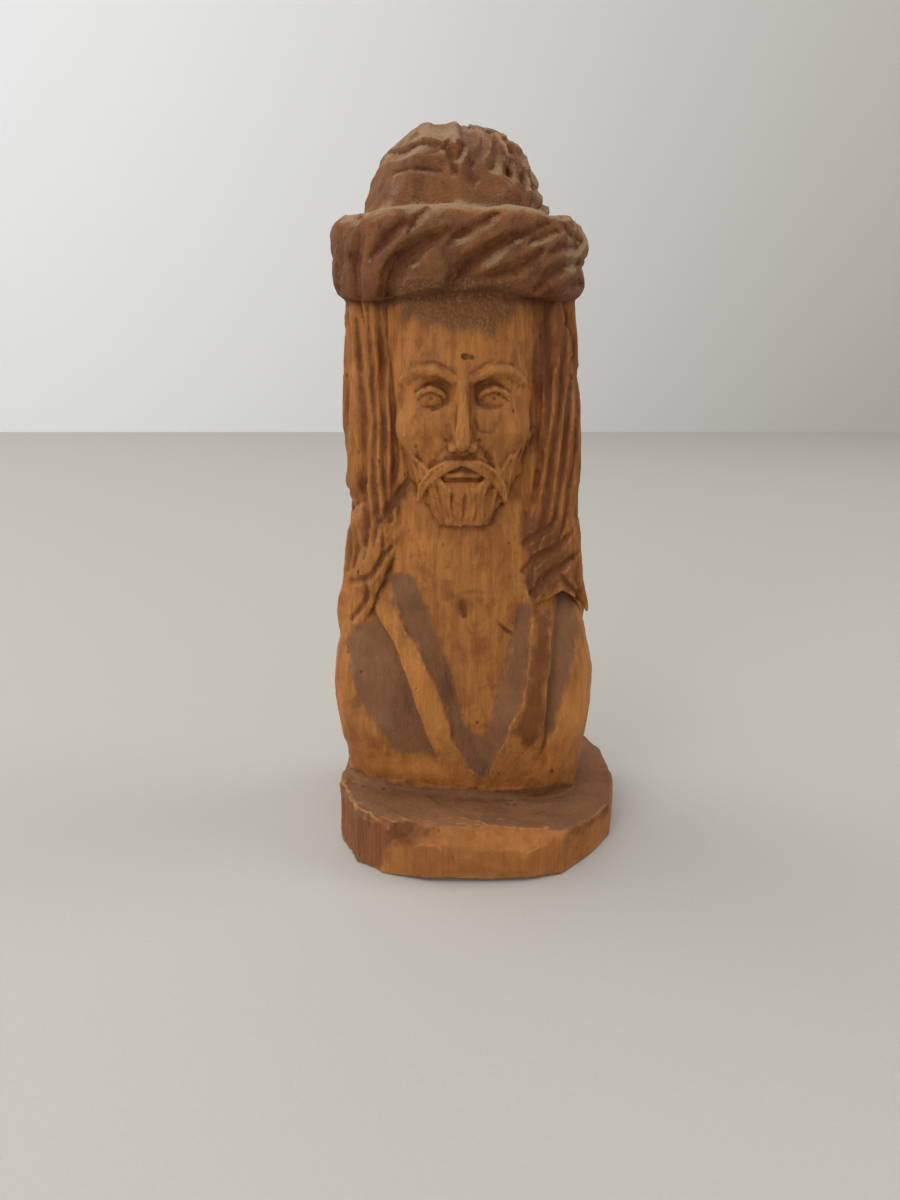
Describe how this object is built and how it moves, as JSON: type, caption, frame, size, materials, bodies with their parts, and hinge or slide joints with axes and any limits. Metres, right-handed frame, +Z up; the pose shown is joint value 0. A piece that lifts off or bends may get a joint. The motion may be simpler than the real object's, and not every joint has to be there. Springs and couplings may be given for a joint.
{
  "type": "carved wooden bust",
  "caption": "Knife-carved wooden bust of a bearded saint in a twisted turban and open robe, cut with its low plinth from one block.",
  "frame": {"origin": "middle of the plinth's underside, which lies on Z = 0", "axes": "+Z up, the figure faces -Y, +X is the viewer's right from the front"},
  "size_m": [0.0696, 0.062, 0.16],
  "materials": {
    "wood": "honey-brown stain, hand-rubbed, worn and dusty"
  },
  "bodies": {
    "root": {"carved_bust": "wood"}
  },
  "joints": []
}
